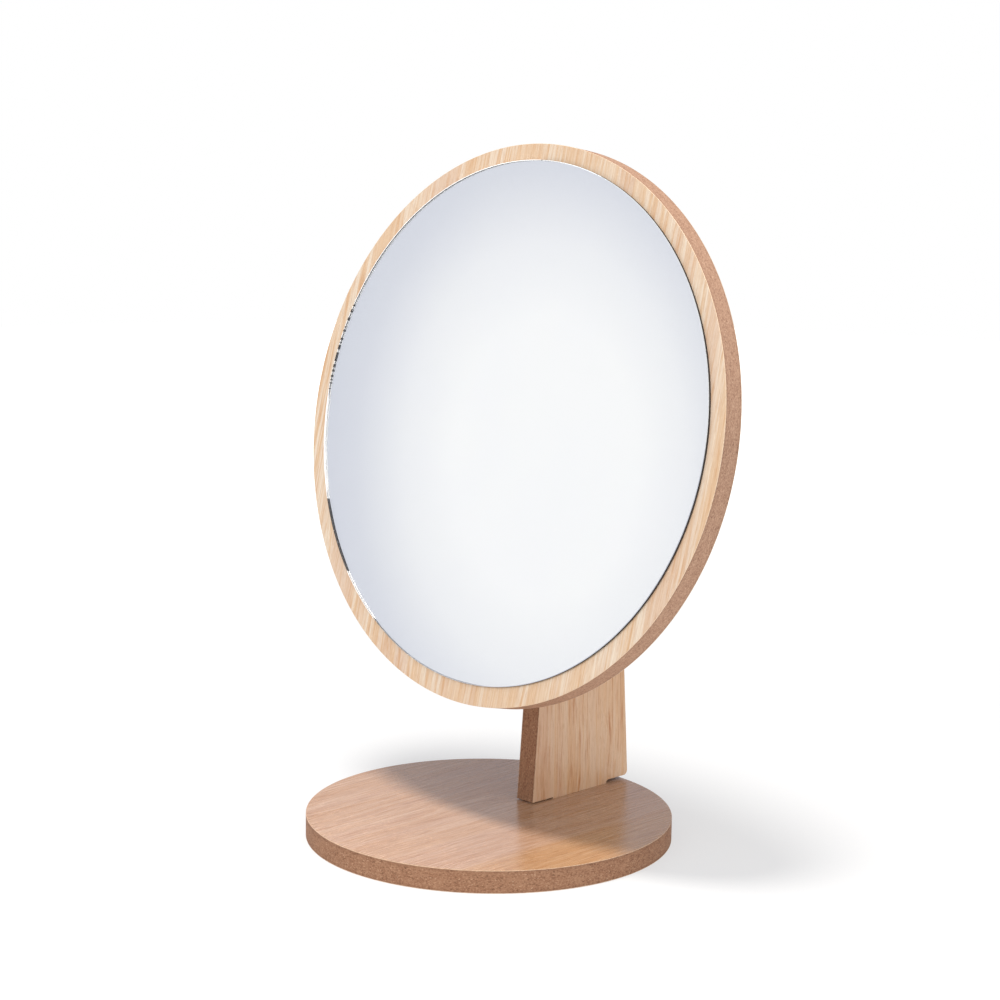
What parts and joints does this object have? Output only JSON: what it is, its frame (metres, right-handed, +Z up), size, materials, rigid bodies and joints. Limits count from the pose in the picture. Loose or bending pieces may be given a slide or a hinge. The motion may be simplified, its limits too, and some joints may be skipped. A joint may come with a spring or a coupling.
{
  "type": "dressing table mirror",
  "caption": "Round tilting dressing-table mirror on a flat upright and round base, of wood-grain laminated board, with a friction pivot and clamp knob behind the mirror.",
  "frame": {"origin": "centre of the round base's underside, on the surface that it stands on", "axes": "+Z up, -Y the way the mirror faces, +Y towards the back, +X to the right of someone who looks along +Y"},
  "size_m": [0.2886, 0.1927, 0.3563],
  "materials": {
    "wood_laminate": "satin, pale straight-grained wood print",
    "mdf": "raw, fine fibres",
    "glass": "clear, polished, ground edge",
    "silvering": "silvered, painted on its back",
    "adhesive": "soft white film",
    "zinc_steel": "zinc plated",
    "nylon": "natural nylon",
    "black_plastic": "fine-textured moulding",
    "brass": "turned"
  },
  "bodies": {
    "stand": {"base_underside_laminate": "wood_laminate", "base_core": "mdf", "base_top_laminate": "wood_laminate", "base_screw_front": "zinc_steel", "base_screw_rear": "zinc_steel", "upright_left_laminate": "wood_laminate", "upright_core": "mdf", "upright_right_laminate": "wood_laminate"},
    "mirror": {"mirror_board_front_laminate": "wood_laminate", "mirror_board_core": "mdf", "mirror_board_back_laminate": "wood_laminate", "mirror_adhesive": "adhesive", "mirror_silvering": "silvering", "mirror_glass": "glass", "left_tilt_bracket": "zinc_steel", "right_tilt_bracket": "zinc_steel", "left_bracket_upper_screw": "zinc_steel", "left_bracket_lower_screw": "zinc_steel", "right_bracket_upper_screw": "zinc_steel", "right_bracket_lower_screw": "zinc_steel", "pivot_bolt": "zinc_steel", "left_friction_washer": "nylon", "right_friction_washer": "nylon", "knob_washer": "zinc_steel"},
    "knob": {"clamp_knob": "black_plastic", "clamp_knob_insert": "brass"}
  },
  "joints": [
    {"name": "mirror_tilt", "type": "hinge", "parent": "stand", "child": "mirror", "pos_m": [0, 0.06268, 0.2034], "axis": [-1, 0, 0], "range_deg": [-15, 45]},
    {"name": "clamp_knob_turn", "type": "hinge", "parent": "mirror", "child": "knob", "pos_m": [0.02, 0.06268, 0.2034], "axis": [1, 0, 0], "range_deg": [0, 360]}
  ]
}
